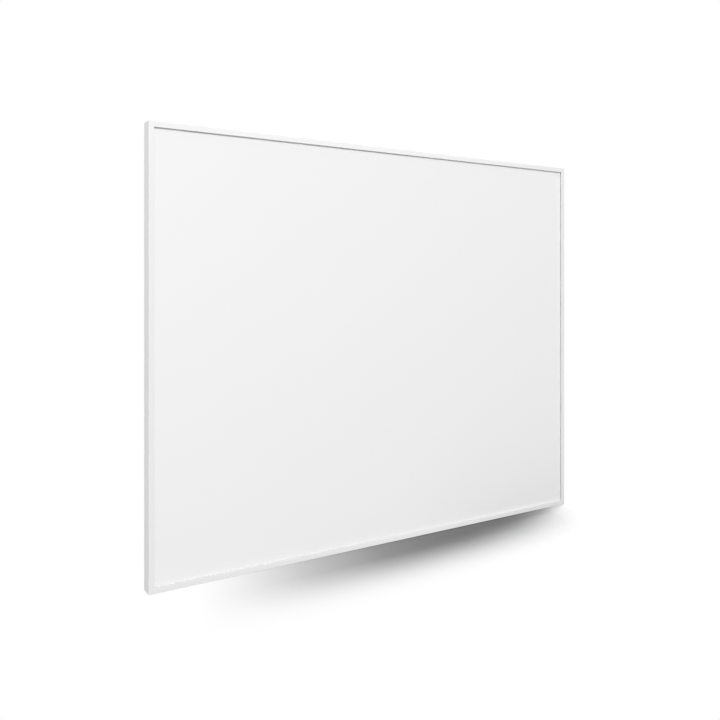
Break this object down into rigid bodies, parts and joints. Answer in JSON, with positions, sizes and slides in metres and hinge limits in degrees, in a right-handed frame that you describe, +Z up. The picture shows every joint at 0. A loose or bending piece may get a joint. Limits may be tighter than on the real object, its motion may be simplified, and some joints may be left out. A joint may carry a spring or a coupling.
{
  "type": "infrared panel heater",
  "caption": "Flat white infrared panel heater for a wall, with a slim aluminium frame, terminal box, cable gland and keyhole brackets on wall buttons.",
  "frame": {"origin": "middle of the four wall screws, on the plane of the wall, level with the middle of the panel", "axes": "+X to the right as seen from the room, +Y into the wall, +Z up; the heater looks towards -Y"},
  "size_m": [0.75, 0.04, 0.6],
  "materials": {
    "frame_coat": "white powder coat on an aluminium extrusion, satin",
    "plate_coat": "white powder coat on a steel sheet, satin",
    "galvanised_sheet": "galvanised",
    "zinc_plate": "bright zinc plating",
    "turned_steel": "turned and zinc plated",
    "key_aluminium": "as extruded",
    "seal_foam": "matt pale silicone foam",
    "clear_film": "clear amber film",
    "carbon_ink": "printed carbon ink, matt",
    "copper_foil": "bare copper",
    "solder": "solder, dull",
    "bright_foil": "bright rolled foil",
    "mineral_fibre": "pressed fibre board",
    "box_plastic": "fine moulded texture",
    "gland_plastic": "moulded polyamide",
    "gasket_rubber": "matt",
    "grommet_rubber": "matt",
    "steatite": "unglazed",
    "terminal_brass": "turned",
    "cutout_shell": "pressed",
    "phenolic": "moulded phenolic",
    "lead_brown": "silicone insulation",
    "lead_blue": "silicone insulation",
    "lead_green_yellow": "silicone insulation"
  },
  "bodies": {
    "wall_fixing": {"upper_left_wall_button": "turned_steel", "upper_right_wall_button": "turned_steel", "lower_left_wall_button": "turned_steel", "lower_right_wall_button": "turned_steel"},
    "heater": {"top_rail": "frame_coat", "bottom_rail": "frame_coat", "left_stile": "frame_coat", "right_stile": "frame_coat", "corner_keys": "key_aluminium", "plate_seal": "seal_foam", "radiant_plate": "plate_coat", "front_film": "clear_film", "carbon_strips": "carbon_ink", "bus_bars": "copper_foil", "solder_joints": "solder", "rear_film": "clear_film", "reflector_foil": "bright_foil", "insulation_board": "mineral_fibre", "back_plate": "galvanised_sheet", "back_plate_screws": "zinc_plate", "upper_left_bracket": "zinc_plate", "upper_right_bracket": "zinc_plate", "lower_left_bracket": "zinc_plate", "lower_right_bracket": "zinc_plate", "bracket_screws": "zinc_plate", "terminal_box_base": "box_plastic", "box_rivets": "key_aluminium", "lid_gasket": "gasket_rubber", "terminal_box_lid": "box_plastic", "lid_screws": "zinc_plate", "lead_grommet": "grommet_rubber", "earth_stud": "zinc_plate", "earth_nuts": "zinc_plate", "earth_lug": "terminal_brass", "terminal_block": "steatite", "terminal_inserts": "terminal_brass", "terminal_screws": "zinc_plate", "block_screws": "zinc_plate", "gland_body": "gland_plastic", "gland_locknut": "gland_plastic", "gland_seal": "gasket_rubber", "gland_nut": "gland_plastic", "cutout_cap": "cutout_shell", "cutout_body": "phenolic", "cutout_tabs": "terminal_brass", "live_lead": "lead_brown", "link_lead": "lead_brown", "neutral_lead": "lead_blue", "earth_lead": "lead_green_yellow"}
  },
  "joints": [
    {"name": "lift_off", "type": "slide", "parent": "wall_fixing", "child": "heater", "axis": [0, 0, 1], "range_m": [0, 0.015]}
  ]
}
